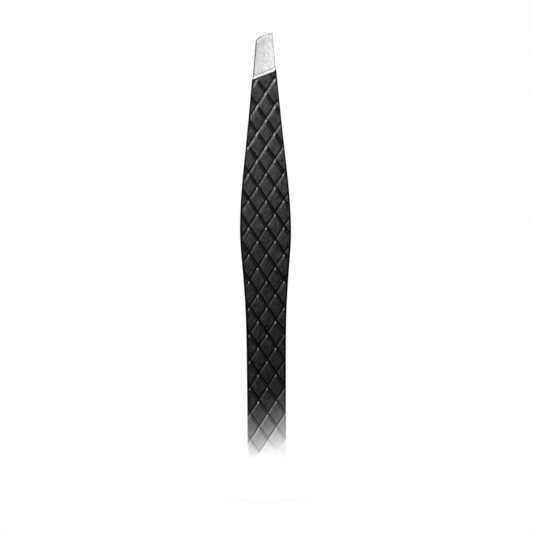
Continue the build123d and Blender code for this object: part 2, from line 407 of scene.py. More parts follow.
def relief(x, z):
    """(height of the tile relief in 0..RELIEF, nearness to a crest in 0..1) at (x, z)."""
    s, t = to_lattice(x, z)
    fs, ft = s - np.floor(s), t - np.floor(t)
    a, b = fs * CELL * SKEW, ft * CELL * SKEW      # distance from the two lower sides
    full = CELL * SKEW
    wb, wa = bevel_width(z), back_width(z)
    g = 0.022
    rise_a = ramp((a - g) / WALL, 0.3, 0.4)
    rise_b = ramp((b - g) / WALL, 0.3, 0.4)
    fall_a = ramp((full - a - g) / wa, 0.12, 0.16)
    fall_b = ramp((full - b - g) / wb, 0.12, 0.16)
    h1, h2 = np.minimum(rise_a, fall_a), np.minimum(rise_b, fall_b)
    # towards the tips a low ridge beside each rising groove runs on across the falling ones
    ridge = RIDGE * smooth((z - 60) / 12) * np.exp(-(((full - b - 0.30) / 0.16) ** 2))
    h1 = np.maximum(h1, ridge)
    k = 0.10
    d = np.abs(h1 - h2)
    h = np.minimum(h1, h2) - np.maximum(k - d, 0) ** 2 / (4 * k)
    h = np.maximum(h, 0.0)
    # the tops lean a little, like shingles, and are slightly crowned
    lean = 0.045 * (fs + ft) / 2
    crown = 0.02 * ((fs - 0.5) ** 2 + (ft - 0.5) ** 2) * 2
    share = relief_share(x, z)
    h = 1 - share * (1 - h)
    height = RELIEF * h - (lean + crown) * h * share
    crest = np.maximum(
        np.maximum(np.exp(-(((a - g - WALL) / 0.07) ** 2)), np.exp(-(((b - g - WALL) / 0.07) ** 2))),
        np.maximum(np.exp(-(((full - a - g - wa) / 0.07) ** 2)), np.exp(-(((full - b - g - wb) / 0.07) ** 2))),
    ) * smooth((h - 0.5) / 0.4) * share
    return height, crest, h


def rim_inset(z):
    """Width of the smooth rounded rim along the long edges."""
    return 0.36 - 0.12 * smooth((z - 45) / 30)


END_INSET, HEEL_INSET, FADE = 0.14, 0.36, 0.10


def corner_height(ax, ae, side_x):
    """Height where an inset side line meets the inset end line."""
    z = 86.0
    for _ in range(80):
        x = side_x * (float(half_width(z)) - float(ax(z)))
        z = float(grind_z(x)) - ae / COS_G
    return z


SIDE_N = 840
END_U = np.unique(np.concatenate([np.linspace(0, 1, 57), []]))


def plan_loop(ax, ae, ah):
    """A closed loop of (x, z): up the right side, along the slanted end to the left, down the left side, round the heel."""
    pts = []
    zero = lambda z: np.zeros_like(np.asarray(z, float))
    for side_x in (1, -1):
        z0c = corner_height(zero, 0.0, side_x)
        zc = corner_height(ax, ae, side_x)
        z0 = np.linspace(HEEL_R, z0c, SIDE_N)
        z = z0 + (zc - z0c) * smooth((z0 - (z0c - 3)) / 3)
        x = side_x * (half_width(z) - ax(z))
        column = list(zip(x, z))
        if side_x == 1:
            pts += column
            right = column[-1]
        else:
            left = column[-1]
            h = abs(left[0])
            # the end, from the right corner to the left one
            inner_u = []
            for u in END_U[1:-1]:
                inner_u.append(u)
            for u in inner_u:
                x_e = right[0] + (left[0] - right[0]) * u
                pts.append((x_e, float(grind_z(x_e)) - ae / COS_G))
            pts += column[::-1]
    # heel corners and bottom, left to right
    h = float(half_width(HEEL_R))
    r = HEEL_R - ah
    for a in np.linspace(0, math.pi / 2, 15)[1:-1]:
        pts.append((-(h - HEEL_R) - r * math.cos(a), HEEL_R - r * math.sin(a)))
    for x in np.linspace(-(h - HEEL_R), h - HEEL_R, 44):
        pts.append((x, HEEL_R - r))
    for a in np.linspace(math.pi / 2, 0, 15)[1:-1]:
        pts.append(((h - HEEL_R) + r * math.cos(a), HEEL_R - r * math.sin(a)))
    return np.array(pts)


def inside(x, z, extra):
    """True where (x, z) is inside the relief field by at least extra."""
    ok = half_width(z) - np.abs(x) >= rim_inset(z) + FADE + extra
    ok &= (grind_z(x) - z) * COS_G >= END_INSET + FADE + extra
    ok &= z >= HEEL_INSET + FADE + extra
    h = float(half_width(HEEL_R))
    near = (z < HEEL_R) & (np.abs(x) > h - HEEL_R)
    reach = np.hypot(np.abs(x) - (h - HEEL_R), z - HEEL_R)
    ok &= ~near | (HEEL_R - reach >= HEEL_INSET + FADE + extra)
    return ok


def in_loop(points, loop):
    """True for each point inside a closed polygon, by the even-odd rule."""
    points = np.asarray(points, float)
    x0, z0 = loop[:, 0], loop[:, 1]
    x1, z1 = np.roll(x0, -1), np.roll(z0, -1)
    out = np.zeros(len(points), bool)
    for i in range(0, len(points), 4000):
        px, pz = points[i:i + 4000, 0][:, None], points[i:i + 4000, 1][:, None]
        cross = (z0 > pz) != (z1 > pz)
        with np.errstate(divide="ignore", invalid="ignore"):
            at = x0 + (pz - z0) * (x1 - x0) / (z1 - z0)
        out[i:i + 4000] = (np.sum(cross & (px < at), axis=1) % 2) == 1
    return out


def triangles_inside(points, edges, loop):
    """Constrained triangles of points, as tuples of indices into points, inside the loop only."""
    got = delaunay_2d_cdt([Vector(p) for p in points], edges, [], 0, 1e-7, True)
    back = [orig[0] if orig else -1 for orig in got[3]]
    tris = np.array([tuple(f) for f in got[2]], int)
    co = np.array([tuple(v) for v in got[0]], float)
    centre = co[tris].mean(axis=1)
    keep = in_loop(centre, loop)
    back = np.array(back)
    tris, centre = back[tris[keep]], centre[keep]
    real = (tris >= 0).all(axis=1)
    return tris[real], centre[real]


def skin_data():
    """Vertices (x, v, z), faces and attributes of a grip skin: a thin channel with diamond tiles on its outer face."""
    zero = lambda z: np.zeros_like(np.asarray(z, float))
    P = plan_loop(zero, 0.0, 0.0)
    Q = plan_loop(rim_inset, END_INSET, HEEL_INSET)
    L = plan_loop(lambda z: rim_inset(z) + FADE, END_INSET + FADE, HEEL_INSET + FADE)
    I = plan_loop(lambda z: zero(z) + 0.12, 0.12, 0.12)
    n = len(P)
    n_end = len(END_U) - 2
    is_end = np.zeros(n, bool)
    is_end[SIDE_N:SIDE_N + n_end] = True
    heel0 = SIDE_N * 2 + n_end
    is_foot = np.zeros(n, bool)
    is_foot[heel0 + 13:heel0 + 13 + 44] = True

    verts, relief_a, crest_a, rim_a = [], [], [], []

    def add_ring(x, v, z, r=1.0, c=0.0, rim=1.0):
        start = len(verts)
        x, v, z = np.broadcast_arrays(np.asarray(x, float), np.asarray(v, float), np.asarray(z, float))
        verts.extend(zip(x.tolist(), v.tolist(), z.tolist()))
        relief_a.extend(np.broadcast_to(np.asarray(r, float), x.shape).tolist())
        crest_a.extend(np.broadcast_to(np.asarray(c, float), x.shape).tolist())
        rim_a.extend([rim] * len(x))
        return start

    rings = []
    hl, cl, hh = relief(L[:, 0], L[:, 1])
    rings.append(add_ring(L[:, 0], outer(L[:, 1]) + SKIN_T - RELIEF + hl, L[:, 1], hh, cl, 0.0))
    top = outer(Q[:, 1]) + SKIN_T
    rings.append(add_ring(Q[:, 0], top - 0.004, Q[:, 1], 1.0, 0.35))
    drop = np.where(is_end, 0.13, 0.30)
    # the drop changes smoothly next to the two corners of the end
    for i in range(1, 26):
        w = float(smooth(i / 26))
        for j in (SIDE_N - i, SIDE_N + n_end - 1 + i):
            drop[j] = 0.13 + (0.30 - 0.13) * w
    for k in range(1, 6):
        a = math.pi / 2 * k / 5
        s, c = math.sin(a), math.cos(a)
        x = Q[:, 0] + (P[:, 0] - Q[:, 0]) * s
        z = Q[:, 1] + (P[:, 1] - Q[:, 1]) * s
        rings.append(add_ring(x, top - drop * (1 - c), z, 1.0, 0.35 if k < 2 else 0.0))
    lip = inner(P[:, 1]) + SKIN_LIP
    low = np.where(is_end | is_foot, outer(P[:, 1]) - 0.04, lip)
    wall_top = top - drop
    for f in (0.34, 0.67):
        rings.append(add_ring(P[:, 0], wall_top + (low + 0.04 - wall_top) * f, P[:, 1]))
    rings.append(add_ring(P[:, 0], low + np.where(is_end | is_foot, 0.0, 0.035), P[:, 1]))
    m = 0.35
    rings.append(add_ring(P[:, 0] + (I[:, 0] - P[:, 0]) * m, low, P[:, 1] + (I[:, 1] - P[:, 1]) * m))
    rings.append(add_ring(I[:, 0], low, I[:, 1]))
    v_in = outer(I[:, 1]) - 0.04
    rings.append(add_ring(I[:, 0], np.maximum(v_in, low + 0.002), I[:, 1]))
    faces = []
    for a, b in zip(rings, rings[1:]):
        for j in range(n):
            k = (j + 1) % n
            faces.append((a + j, a + k, b + k, b + j))

    # inner cap: the face bonded to the blade
    inner_top = rings[-1]
    zz = np.arange(0.9, 87.0, 0.9)
    gx, gz = np.meshgrid(np.linspace(-4.4, 4.4, 9), zz)
    gx, gz = gx.ravel(), gz.ravel()
    keep = inside(gx, gz, 0.12)
    gx, gz = gx[keep], gz[keep]
    pts = [tuple(p) for p in I] + list(zip(gx.tolist(), gz.tolist()))
    edges = [(i, (i + 1) % n) for i in range(n)]
    extra = add_ring(gx, outer(gz) - 0.04, gz)
    cap, _ = triangles_inside(pts, edges, I)
    for f in cap.tolist():
        faces.append(tuple(inner_top + o if o < n else extra + (o - n) for o in f))

    # the tile field inside the rim
    cuts = np.concatenate([
        [0.0, 0.024, 0.055, 0.09, 0.125, 0.16, 0.195],
        [0.30, 0.6, 1.0, 1.45, 1.9, 2.25],
        CELL - np.array([0.74, 0.68, 0.62, 0.54, 0.46, 0.40, 0.345, 0.28, 0.21, 0.14, 0.075, 0.024]),
    ]) / CELL
    cells = np.arange(-19, 3)
    axis = np.concatenate([c + cuts for c in cells])
    per = len(cuts)
    s_grid, t_grid = np.meshgrid(axis, axis, indexing="ij")
    x_grid, z_grid = from_lattice(s_grid, t_grid)
    ok = (np.abs(x_grid) < 5.3) & (z_grid > 0) & (z_grid < 88)
    ok[ok] = inside(x_grid[ok], z_grid[ok], 0.035)
    quad = ok[:-1, :-1] & ok[1:, :-1] & ok[1:, 1:] & ok[:-1, 1:]
    used = np.zeros_like(ok)
    used[:-1, :-1] |= quad
    used[1:, :-1] |= quad
    used[1:, 1:] |= quad
    used[:-1, 1:] |= quad
    index = -np.ones(ok.shape, int)
    ii, jj = np.nonzero(ok)
    xg, zg = x_grid[ok], z_grid[ok]
    hg, cg, hh = relief(xg, zg)
    start = add_ring(xg, outer(zg) + SKIN_T - RELIEF + hg, zg, hh, cg, 0.0)
    index[ii, jj] = start + np.arange(len(ii))
    height = np.zeros(ok.shape)
    height[ii, jj] = hg
    qi, qj = np.nonzero(quad)
    sc = (axis[qi] + axis[qi + 1]) / 2
    tc = (axis[qj] + axis[qj + 1]) / 2
    xc, zc = from_lattice(sc, tc)
    hc = relief(xc, zc)[0]
    d1 = np.abs((height[qi, qj] + height[qi + 1, qj + 1]) / 2 - hc)
    d2 = np.abs((height[qi + 1, qj] + height[qi, qj + 1]) / 2 - hc)
    for i, j, first in zip(qi.tolist(), qj.tolist(), (d1 <= d2).tolist()):
        a, b, c, d = int(index[i, j]), int(index[i + 1, j]), int(index[i + 1, j + 1]), int(index[i, j + 1])
        if first:
            faces.append((a, b, c))
            faces.append((a, c, d))
        else:
            faces.append((a, b, d))
            faces.append((b, c, d))

    # the band between the whole squares of the field and the loop round it
    count = np.zeros(ok.shape, int)
    pts, ids, seen = [], [], {}

    def point(gid, x, z):
        if gid not in seen:
            seen[gid] = len(pts)
            pts.append((x, z))
            ids.append(gid)
        return seen[gid]

    for i in range(n):
        point(rings[0] + i, L[i, 0], L[i, 1])
    edges = [(i, (i + 1) % n) for i in range(n)]
    pad = np.zeros((quad.shape[0] + 2, quad.shape[1] + 2), bool)
    pad[1:-1, 1:-1] = quad
    # a grid edge on the border of the kept squares has a kept square on exactly one side
    for di in (0, 1):
        if di == 0:     # edges (i, j)-(i + 1, j): squares (i, j - 1) and (i, j)
            border = pad[1:-1, :-1] ^ pad[1:-1, 1:]
            bi, bj = np.nonzero(border)
            ends = [((i, j), (i + 1, j)) for i, j in zip(bi.tolist(), bj.tolist())]
        else:           # edges (i, j)-(i, j + 1): squares (i - 1, j) and (i, j)
            border = pad[:-1, 1:-1] ^ pad[1:, 1:-1]
            bi, bj = np.nonzero(border)
            ends = [((i, j), (i, j + 1)) for i, j in zip(bi.tolist(), bj.tolist())]
        for p, q in ends:
            a = point(int(index[p]), float(x_grid[p]), float(z_grid[p]))
            b = point(int(index[q]), float(x_grid[q]), float(z_grid[q]))
            edges.append((a, b))
    free = ok & ~used
    for i, j in zip(*np.nonzero(free)):
        point(int(index[i, j]), float(x_grid[i, j]), float(z_grid[i, j]))
    band, centre = triangles_inside(pts, edges, L)
    for f, c in zip(band.tolist(), centre):
        s, t = to_lattice(c[0], c[1])
        i = int(np.searchsorted(axis, s, side="right") - 1)
        j = int(np.searchsorted(axis, t, side="right") - 1)
        if 0 <= i < quad.shape[0] and 0 <= j < quad.shape[1] and quad[i, j]:
            continue
        faces.append(tuple(ids[i] for i in f))
    return np.array(verts), faces, np.array(relief_a), np.array(crest_a), np.array(rim_a)


SKIN = skin_data()


def skin_mesh(name, side):
    verts, faces, relief_a, crest_a, rim_a = SKIN
    used = np.zeros(len(verts), bool)
    for f in faces:
        used[list(f)] = True
    new = -np.ones(len(verts), int)
    new[used] = np.arange(used.sum())
    faces = [tuple(int(new[i]) for i in f) for f in faces]
    return make_mesh(
        name, verts[used], faces, side, smooth_angle=60,
        attributes={"relief": relief_a[used], "crest": crest_a[used], "rim": rim_a[used]},
    )


# ------------------------------------------------------------------------------------------------------- materials
class Nodes:
    """Short calls for building a node tree."""

    def __init__(self, tree):
        self.tree = tree
        tree.nodes.clear()

    def add(self, kind, **settings):
        node = self.tree.nodes.new(kind)
        inputs = settings.pop("inputs", {})
        for key, value in settings.items():
            setattr(node, key, value)
        for key, value in inputs.items():
            self.set(node, key, value)
        return node

    def set(self, node, key, value):
        if isinstance(value, bpy.types.NodeSocket):
            self.tree.links.new(value, node.inputs[key])
        else:
            node.inputs[key].default_value = value

    def math(self, operation, *values, clamp=False):
        node = self.add("ShaderNodeMath", operation=operation, use_clamp=clamp)
        for i, value in enumerate(values):
            self.set(node, i, value)
        return node.outputs[0]

    def vmath(self, operation, *values):
        node = self.add("ShaderNodeVectorMath", operation=operation)
        for i, value in enumerate(values):
            self.set(node, i, value)
        return node.outputs["Value"] if operation in ("DOT_PRODUCT", "LENGTH") else node.outputs[0]

    def span(self, value, a, b, c, d, kind="LINEAR"):
        node = self.add("ShaderNodeMapRange", interpolation_type=kind, inputs={0: value, 1: a, 2: b, 3: c, 4: d})
        return node.outputs[0]

    def mix(self, factor, a, b):
        node = self.add("ShaderNodeMix", data_type="RGBA")
        self.set(node, 0, factor)
        self.set(node, 6, a)
        self.set(node, 7, b)
        return node.outputs[2]

    def attribute(self, name, output="Fac"):
        return self.add("ShaderNodeAttribute", attribute_name=name).outputs[output]

    def noise(self, vector, scale, detail=2.0, rough=0.5, distortion=0.0):
        node = self.add(
            "ShaderNodeTexNoise",
            inputs={"Vector": vector, "Scale": scale, "Detail": detail, "Roughness": rough, "Distortion": distortion},
        )
        return node.outputs[0]

    def stretched(self, vector, along, across_mm, along_mm):
        """vector scaled so that noise of scale 1 has marks along_mm long in the direction along and across_mm wide."""
        a = Vector(along).normalized()
        dot = self.vmath("DOT_PRODUCT", vector, tuple(a))
        shrink = self.vmath("SCALE", tuple(a), )
        node = self.tree.nodes[-1]
        k = (1.0 / (along_mm * MM) - 1.0 / (across_mm * MM))
        self.set(node, 3, self.math("MULTIPLY", dot, k))
        scaled = self.add("ShaderNodeVectorMath", operation="SCALE", inputs={0: vector, 3: 1.0 / (across_mm * MM)})
        return self.vmath("ADD", scaled.outputs[0], shrink)


def material(name):
    m = bpy.data.materials.new(name)
    m.use_nodes = True
    return m, Nodes(m.node_tree)


def rgb(v, tint=(1, 1, 1)):
    return (v * tint[0], v * tint[1], v * tint[2], 1.0)


def skin_material():
    """A satin shell: black diamond scales over a white coat, fading out to the plain white coat at the heel."""
    m, n = material("skin_satin_scales")
    rest = n.attribute("rest", "Vector")
    relief_v, crest_v, rim_v = n.attribute("relief"), n.attribute("crest"), n.attribute("rim")
    add, sub, mul = (lambda a, b, o=o: n.math(o, a, b) for o in ("ADD", "SUBTRACT", "MULTIPLY"))

    xyz = n.add("ShaderNodeSeparateXYZ", inputs={0: rest})
    x, z = mul(xyz.outputs[0], 1000.0), mul(xyz.outputs[2], 1000.0)
    ca, sa = math.cos(ALPHA), math.sin(ALPHA)
    full = CELL * SKEW

    # place inside the diamond lattice
    p, q = mul(sub(x, CROSS_X), 1 / (2 * CELL * ca)), mul(sub(z, CROSS_Z), 1 / (2 * CELL * sa))
    s, t = add(q, p), sub(q, p)
    s0, t0 = n.math("FLOOR", s), n.math("FLOOR", t)
    fs, ft = sub(s, s0), sub(t, t0)
    low_a, low_b = mul(fs, full), mul(ft, full)
    up_a, up_b = sub(full, low_a), sub(full, low_b)
    wide = add(add(0.44, n.span(z, 36, 52, 0.0, 0.08, "SMOOTHSTEP")), n.span(z, 60, 76, 0.0, 0.03, "SMOOTHSTEP"))
    back = add(0.48, n.span(z, 58, 74, 0.0, 0.14, "SMOOTHSTEP"))
    first = add(add(0.13, n.span(z, 32, 44, 0.0, 0.13, "SMOOTHSTEP")), n.span(z, 60, 70, 0.0, -0.14, "SMOOTHSTEP"))
    ra, rb = n.math("DIVIDE", up_a, back), n.math("DIVIDE", up_b, wide)
    tips = n.span(z, 60, 72, 0.0, 1.0, "SMOOTHSTEP")
    start = n.span(sub(up_b, first), -0.05, 0.05, 0.0, 1.0, "SMOOTHSTEP")
    strip = mul(n.span(rb, 1.08, 0.92, 0.0, 1.0, "SMOOTHSTEP"), start)
    ridge = mul(strip, tips)                      # near the tips the pale strips run on across the other grooves
    on_lit = n.math("MAXIMUM", n.span(sub(ra, rb), -0.04, 0.08, 0.0, 1.0, "SMOOTHSTEP"), ridge)
    lit = mul(strip, on_lit)
    dim = mul(n.span(ra, 1.06, 0.96, 0.0, 1.0, "SMOOTHSTEP"), sub(1.0, on_lit))
    to_end = mul(sub(add(GRIND_Z, mul(x, math.tan(GRIND_A))), z), COS_G)
    by_end = n.span(to_end, 0.6, 2.0, 0.05, 1.0, "SMOOTHSTEP")
    dim = mul(dim, by_end)
    crease_shade = n.math("EXPONENT", mul(n.math("POWER", n.math("ABSOLUTE", mul(sub(up_a, back), 1 / 0.06)), 2.0), -1.0))
    crease_shade = mul(mul(crease_shade, sub(1.0, on_lit)), by_end)
    keep = sub(1.0, ridge)
    wall = n.math("MAXIMUM", mul(n.span(low_a, 0.24, 0.15, 0.0, 1.0, "SMOOTHSTEP"), keep),
                  n.span(low_b, n.span(tips, 0, 1, 0.24, 0.18), n.span(tips, 0, 1, 0.15, 0.10), 0.0, 1.0, "SMOOTHSTEP"))
    line = n.math("MAXIMUM", mul(n.span(n.math("MINIMUM", up_a, low_a), 0.14, 0.07, 0.0, 1.0, "SMOOTHSTEP"), keep),
                  n.span(n.math("MINIMUM", up_b, low_b), 0.13, 0.06, 0.0, 1.0, "SMOOTHSTEP"))
    line = mul(line, n.span(to_end, 0.2, 1.2, 0.25, 1.0, "SMOOTHSTEP"))
    wall = mul(wall, n.span(to_end, 0.4, 1.6, 0.10, 1.0, "SMOOTHSTEP"))
    # a painted highlight: a pale dot by the top corner of each scale, where the rounded apex would catch the light from
    # above
    ea, eb = sub(up_a, 0.50), sub(up_b, 0.25)
    down = mul(add(ea, eb), 1 / (2 * ca))
    over = mul(sub(eb, ea), 1 / (2 * sa))
    apex_highlight = n.math("EXPONENT", mul(add(
        n.math("POWER", n.math("ABSOLUTE", mul(over, 1 / 0.11)), 2.0),
        n.math("POWER", n.math("ABSOLUTE", mul(down, 1 / 0.18)), 2.0)), -1.0))

    # fine grain: streaks along both lattice directions, a close grain and slow clouds
    streak_a = n.noise(n.stretched(rest, (ca, 0, sa), 0.17, 1.5), 1.0, 2.0, 0.5)
    streak_b = n.noise(n.stretched(rest, (-ca, 0, sa), 0.17, 1.5), 1.0, 2.0, 0.5)
    grain = n.noise(rest, 1 / (0.22 * MM), 3.0, 0.6)
    spark = n.noise(n.stretched(rest, (-ca, 0, sa), 0.24, 0.50), 1.0, 1.0, 0.5)
    cloud = n.noise(rest, 1 / (2.6 * MM), 3.0, 0.55)
    streak = add(mul(streak_a, 0.65), mul(streak_b, 0.35))
    tone = add(mul(grain, 0.30), add(mul(streak, 0.62), mul(cloud, 0.08)))

    # the fade: each scale has its own tone, with a gentler run inside it
    scale_x = mul(sub(s0, t0), CELL * ca)
    scale_z = add(mul(add(add(s0, t0), 1.0), CELL * sa), CROSS_Z)
    here = sub(z, mul(n.math("MAXIMUM", x, -1.8), FADE_LEAN))
    own = sub(scale_z, mul(n.math("MAXIMUM", scale_x, -1.8), FADE_LEAN))
    # on the side walls the fade runs smoothly
    turned = n.add("ShaderNodeSeparateXYZ", inputs={0: n.add("ShaderNodeNewGeometry").outputs["Normal"]}).outputs[1]
    step = n.span(n.math("ABSOLUTE", turned), 0.25, 0.55, 1.0, 0.62)
    at = add(own, mul(sub(here, own), step))
    fade = n.math("POWER", n.span(at, 23.5, 10.0, 0.0, 1.0), 1.25)
    facing = n.span(n.math("ABSOLUTE", turned), 0.25, 0.55, 0.0, 1.0)
    # painted shade and highlight in the fade: the grooves and shaded bevels stay darker and the lit bevels turn paler
    marks = mul(n.math("MAXIMUM", wall, n.math("MAXIMUM", line, mul(dim, 0.6))), facing)
    hold = sub(1.0, n.math("POWER", fade, 3.0))
    fade = mul(fade, sub(1.0, mul(mul(marks, 0.30), hold)))
    fade = add(fade, mul(mul(mul(lit, facing), 0.10), mul(hold, n.span(fade, 0.02, 0.2, 0.0, 1.0))))
    white_share = n.math("POWER", n.math("MINIMUM", fade, 1.0), 2.2)

    grip = n.span(tone, 0.44, 0.56, 0.0, 1.0)
    ink_and_painted_light = n.mix(grip, rgb(0.0008), rgb(0.0205, (1, 1, 1.03)))
    # painted shade: the upper right bevels, which face away from the light, get a flatter, dimmer tone
    ink_and_painted_light = n.mix(dim, ink_and_painted_light, n.mix(grip, rgb(0.0035), rgb(0.0125)))
    # painted shade: a darkest line along the inner edge of the upper right bevels
    ink_and_painted_light = n.mix(mul(crease_shade, 0.90), ink_and_painted_light, rgb(0.0012))
    # painted highlight: the upper left bevels, which face the light, are painted pale, brighter towards the tips and at
    # each strip's upper end
    glow = add(0.040, n.span(z, 58, 74, 0.0, 0.056, "SMOOTHSTEP"))
    reach = mul(n.math("POWER", fs, 3.0), n.span(z, 58, 74, 0.7, 2.2, "SMOOTHSTEP"))
    glow = mul(glow, mul(add(n.span(tips, 0, 1, 0.42, 0.62), reach), n.span(spark, 0.36, 0.64, 0.15, 1.85)))
    # near the tips the strips are ribbed
    rib = n.math("COSINE", mul(z, 2 * math.pi / 0.43))
    glow = mul(glow, add(1.0, mul(mul(rib, 0.55), tips)))
    ink_and_painted_light = n.mix(lit, ink_and_painted_light, n.add("ShaderNodeCombineColor", inputs={0: glow, 1: glow, 2: glow}).outputs[0])
    # painted shade in the grooves: the groove walls and groove lines are painted near black
    ink_and_painted_light = n.mix(wall, ink_and_painted_light, rgb(0.0016))
    ink_and_painted_light = n.mix(line, ink_and_painted_light, rgb(0.0020))
    # painted highlight dots at the scales' top corners
    ink_and_painted_light = n.mix(mul(apex_highlight, n.span(cloud, 0.35, 0.65, 0.65, 1.0)), ink_and_painted_light, rgb(0.58))
    # painted shade on the rim: darker where it faces the front, lighter where it turns sideways
    ink_and_painted_light = n.mix(rim_v, ink_and_painted_light, n.mix(facing, n.mix(grip, rgb(0.006), rgb(0.017)), rgb(0.0008)))
    # rubbed paler along the crests and the rim's inner edge: partly wear, partly a painted highlight on the edges that
    # catch the light
    crest_wear_and_highlight = mul(crest_v, n.span(cloud, 0.35, 0.65, 0.15, 0.6))
    ink_and_painted_light = n.mix(mul(mul(crest_wear_and_highlight, 0.30), sub(1.0, dim)), ink_and_painted_light, rgb(0.022))
    coat = n.mix(n.span(tone, 0.35, 0.65, 0.0, 1.0), rgb(0.86, (1, 1, 0.995)), rgb(0.90))
    # base: the print with its painted highlights and painted shade, fading to the white coat
    base = n.mix(white_share, ink_and_painted_light, coat)

    rough = n.span(tone, 0.38, 0.62, 0.32, 0.44)
    # painted shade in the reflections: the grooves, the creases, the shaded bevels and the rim get a lower specular
    # level
    spec_shade = n.math("MAXIMUM", n.math("MAXIMUM", mul(wall, 0.80), mul(line, 0.82)), n.math("MAXIMUM", mul(dim, 0.38), n.math("MAXIMUM", mul(crease_shade, 0.65), mul(rim_v, 0.75))))
    gloss = mul(n.span(tone, 0.41, 0.59, 0.26, 0.78), sub(1.0, mul(spec_shade, sub(1.0, white_share))))
    height = add(mul(grain, 0.55), mul(streak, 0.45))
    bump = n.add("ShaderNodeBump", inputs={
        "Strength": n.span(white_share, 0.0, 0.6, 0.75, 0.12), "Distance": 0.014 * MM, "Height": height,
    })
    p = n.add("ShaderNodeBsdfPrincipled", inputs={
        "Base Color": base, "Roughness": rough, "IOR": 1.5, "Specular IOR Level": gloss, "Normal": bump.outputs[0],
    })
    out = n.add("ShaderNodeOutputMaterial")
    n.tree.links.new(p.outputs[0], out.inputs[0])
    return m


def steel_material():
    """Ground steel, with the white coat on the short shoulder past the skin."""
    m, n = material("blade_ground_steel")
    rest = n.attribute("rest", "Vector")
    coat_v, corner_shade_v, step_shade_v = n.attribute("coat"), n.attribute("line"), n.attribute("lip")
    band_v, bevel_v = n.attribute("band"), n.attribute("bevel")
    add, mul = (lambda a, b, o=o: n.math(o, a, b) for o in ("ADD", "MULTIPLY"))
    xyz = n.add("ShaderNodeSeparateXYZ", inputs={0: rest})
    x, z = mul(xyz.outputs[0], 1000.0), mul(xyz.outputs[2], 1000.0)
    # ground marks: steep and leaning on the tip facet, along the blade elsewhere
    lean = math.radians(24)
    way = (-math.sin(lean), 0, math.cos(lean))
    facet = n.noise(n.stretched(rest, way, 0.21, 2.0), 1.0, 2.0, 0.55)
    facet_fine = n.noise(n.stretched(rest, way, 0.08, 1.4), 1.0, 2.0, 0.5)
    long_ = n.noise(n.stretched(rest, (0, 0, 1), 0.09, 7.0), 1.0, 3.0, 0.6)
    is_tip = n.span(z, 84.4, 85.4, 0.0, 1.0)
    mark = n.mix(is_tip, long_, add(mul(facet, 0.84), mul(facet_fine, 0.16)))
    cloud = n.noise(rest, 1 / (1.7 * MM), 3.0, 0.5)
    # painted light: the facet's colour is painted lighter towards its lower right, standing in for how the light falls
    # on it
    across = add(mul(x, 0.20), mul(add(z, -90.5), -0.13))
    pale = mul(n.span(across, -0.8, 0.8, 0.0, 1.0, "SMOOTHSTEP"), is_tip)
    base = n.mix(n.span(mark, 0.40, 0.60, 0.0, 1.0), rgb(0.42, (1, 1, 1.005)), rgb(0.66))
    base = n.mix(mul(pale, 0.62), base, rgb(0.74))
    base = n.mix(n.span(cloud, 0.35, 0.65, 0.0, 0.22), base, rgb(0.52, (1.0, 0.995, 0.985)))
    # painted shade: a dull grey line in the concave corner where the grinding stopped
    base = n.mix(mul(corner_shade_v, 0.88), base, rgb(0.20))
    # painted light along the tip edge: a painted highlight on the band and painted shade on the edge's bevel, their
    # tones set against x
    base = n.mix(mul(band_v, 0.9), base, n.attribute("band_painted_light", "Color"))
    base = n.mix(mul(bevel_v, 0.95), base, n.attribute("bevel_painted_light", "Color"))
    base = n.mix(coat_v, base, rgb(0.88))
    # painted shade at the foot of the skin's end
    base = n.mix(mul(step_shade_v, 0.8), base, rgb(0.30))
    rough = add(n.span(mark, 0.3, 0.7, 0.17, 0.26), n.span(cloud, 0.3, 0.7, -0.02, 0.03))
    rough = add(rough, add(mul(bevel_v, 0.32), mul(band_v, 0.08)))
    bump = n.add("ShaderNodeBump", inputs={
        "Strength": mul(n.span(coat_v, 0.0, 1.0, 0.34, 0.05), n.span(bevel_v, 0.0, 1.0, 1.0, 0.15)), "Distance": 0.010 * MM, "Height": mark,
    })
    p = n.add("ShaderNodeBsdfPrincipled", inputs={
        "Base Color": base, "Metallic": n.math("SUBTRACT", 1.0, coat_v), "Roughness": rough, "Normal": bump.outputs[0],
    })
    out = n.add("ShaderNodeOutputMaterial")
    n.tree.links.new(p.outputs[0], out.inputs[0])
    return m


def weld_material():
    m, n = material("weld_fused_steel")
    geo = n.add("ShaderNodeTexCoord").outputs["Object"]
    ripple = n.noise(geo, 1 / (0.35 * MM), 3.0, 0.6, 0.4)
    base = n.mix(n.span(ripple, 0.35, 0.65, 0.0, 1.0), rgb(0.36, (1.0, 0.98, 0.94)), rgb(0.55, (1, 1, 1.01)))
    bump = n.add("ShaderNodeBump", inputs={"Strength": 0.4, "Distance": 0.02 * MM, "Height": ripple})
    p = n.add("ShaderNodeBsdfPrincipled", inputs={
        "Base Color": base, "Metallic": 1.0, "Roughness": n.span(ripple, 0.3, 0.7, 0.38, 0.55), "Normal": bump.outputs[0],
    })
    out = n.add("ShaderNodeOutputMaterial")
    n.tree.links.new(p.outputs[0], out.inputs[0])
    return m


SKIN_MAT, STEEL_MAT, WELD_MAT = skin_material(), steel_material(), weld_material()

# ---------------------------------------------------------------------------------------------------------- pieces
for arm, side in (("front", -1), ("rear", 1)):
    steel = blade_mesh(f"{arm}_blade_steel", side)
    steel.data.materials.append(STEEL_MAT)
    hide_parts(f"{arm}_blade", f"{arm}_blade_heel")
    skin = skin_mesh(f"{arm}_skin_tiles", side)
    skin.data.materials.append(SKIN_MAT)
    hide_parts(f"{arm}_grip_skin", f"{arm}_grip_skin_heel")
    for piece in (steel, skin):
        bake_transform(piece)

welds = frame["nodes"]["spot_welds"]
welds.data.materials.clear()
welds.data.materials.append(WELD_MAT)

# ----------------------------------------------------------------------------------------------------------- stage
scene = bpy.context.scene


